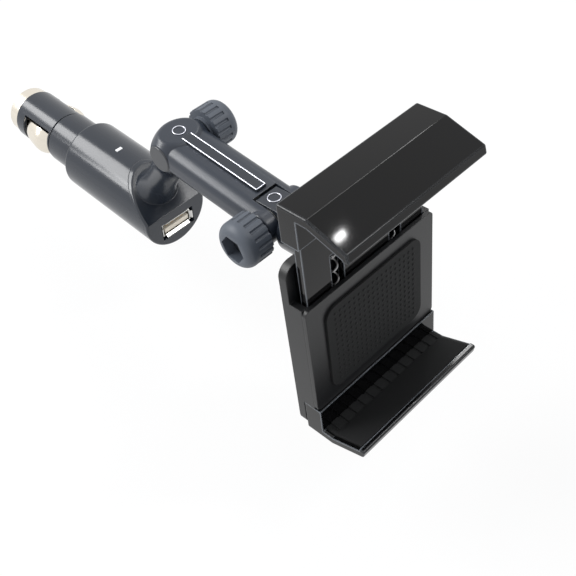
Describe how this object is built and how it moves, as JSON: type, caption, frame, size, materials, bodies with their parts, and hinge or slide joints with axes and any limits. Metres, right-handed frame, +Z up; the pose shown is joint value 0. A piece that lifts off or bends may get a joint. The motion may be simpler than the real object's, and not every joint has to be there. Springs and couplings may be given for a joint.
{
  "type": "cigarette lighter phone mount",
  "caption": "Phone mount with a lighter-socket plug and USB port, a hinged arm with clamping knobs, and a swivelling holder whose sprung jaw grips a phone.",
  "frame": {"origin": "on the plug's axis at the shoulder between the slim barrel and the thick body", "axes": "+Y along the plug into the socket, +Z up towards the arm, +X to the right as the driver looks at the plug"},
  "size_m": [0.0544, 0.2131, 0.0907],
  "materials": {
    "gloss_plug_abs": "gloss",
    "gloss_black_abs": "gloss",
    "satin_black_abs": "satin",
    "satin_arm_abs": "satin",
    "knob_nylon": "matte",
    "nickel_plate": "polished",
    "usb_steel": "satin",
    "usb_insulator": "satin",
    "gold_contact": "polished",
    "board_laminate": "satin",
    "ferrite": "matte",
    "capacitor_sleeve": "satin",
    "fuse_glass": "gloss",
    "lens_white": "gloss",
    "spring_steel": "satin",
    "black_oxide_steel": "satin",
    "washer_nylon": "matte",
    "black_rubber": "matte"
  },
  "bodies": {
    "plug": {"plug_barrel": "gloss_plug_abs", "nose_cap": "nickel_plate", "contact_spring": "spring_steel", "body_shell": "gloss_plug_abs", "front_cap": "gloss_plug_abs", "led_lens": "lens_white", "usb_shell": "usb_steel", "usb_tongue": "usb_insulator", "usb_contacts": "gold_contact", "circuit_board": "board_laminate", "inductor": "ferrite", "capacitors": "capacitor_sleeve"},
    "centre_pin": {"centre_contact": "nickel_plate", "fuse": "fuse_glass"},
    "left_contact": {"side_contact_left": "nickel_plate"},
    "right_contact": {"side_contact_right": "nickel_plate"},
    "arm": {"arm_body": "satin_arm_abs", "arm_strip": "gloss_plug_abs", "arm_hinge_bolt": "black_oxide_steel", "holder_hinge_bolt": "black_oxide_steel", "fork_washers": "washer_nylon"},
    "arm_knob": {"arm_knob": "knob_nylon", "arm_knob_nut": "black_oxide_steel"},
    "holder_knob": {"holder_knob": "knob_nylon", "holder_knob_nut": "black_oxide_steel"},
    "stem": {"swivel_stem": "satin_arm_abs"},
    "holder": {"swivel_collar": "knob_nylon", "swivel_washer": "washer_nylon", "back_housing": "satin_black_abs", "front_plate": "satin_black_abs", "back_pad": "black_rubber", "lower_jaw": "gloss_black_abs", "lower_pad": "black_rubber", "clamp_springs": "spring_steel", "housing_screws": "black_oxide_steel"},
    "jaw": {"upper_jaw": "gloss_black_abs", "upper_pad": "black_rubber"}
  },
  "joints": [
    {"name": "arm_hinge", "type": "hinge", "parent": "plug", "child": "arm", "pos_m": [0, -0.05968, 0.03713], "axis": [1, 0, 0], "range_deg": [-60, 25]},
    {"name": "holder_hinge", "type": "hinge", "parent": "arm", "child": "stem", "pos_m": [0, -0.10564, 0.03537], "axis": [1, 0, 0], "range_deg": [-60, 60]},
    {"name": "holder_swivel", "type": "hinge", "parent": "stem", "child": "holder", "pos_m": [0, -0.10564, 0.03537], "axis": [0, 0.9945, -0.1045], "continuous": true},
    {"name": "jaw_slide", "type": "slide", "parent": "holder", "child": "jaw", "axis": [0, 0.1045, 0.9945], "range_m": [-0.022, 0.008], "deforming": ["clamp_springs"]},
    {"name": "arm_knob_turn", "type": "hinge", "parent": "arm", "child": "arm_knob", "pos_m": [0, -0.05968, 0.03713], "axis": [1, 0, 0], "range_deg": [0, 270]},
    {"name": "holder_knob_turn", "type": "hinge", "parent": "arm", "child": "holder_knob", "pos_m": [0, -0.10564, 0.03537], "axis": [-1, 0, 0], "range_deg": [0, 270]},
    {"name": "centre_pin_press", "type": "slide", "parent": "plug", "child": "centre_pin", "axis": [0, -1, 0], "range_m": [0, 0.003], "stiffness_N_per_m": 1500, "springref_m": -0.001, "deforming": ["contact_spring"]},
    {"name": "left_contact_press", "type": "slide", "parent": "plug", "child": "left_contact", "axis": [1, 0, 0], "range_m": [0, 0.0018], "stiffness_N_per_m": 2000, "springref_m": -0.0005},
    {"name": "right_contact_press", "type": "slide", "parent": "plug", "child": "right_contact", "axis": [-1, 0, 0], "range_m": [0, 0.0018], "stiffness_N_per_m": 2000, "springref_m": -0.0005}
  ]
}
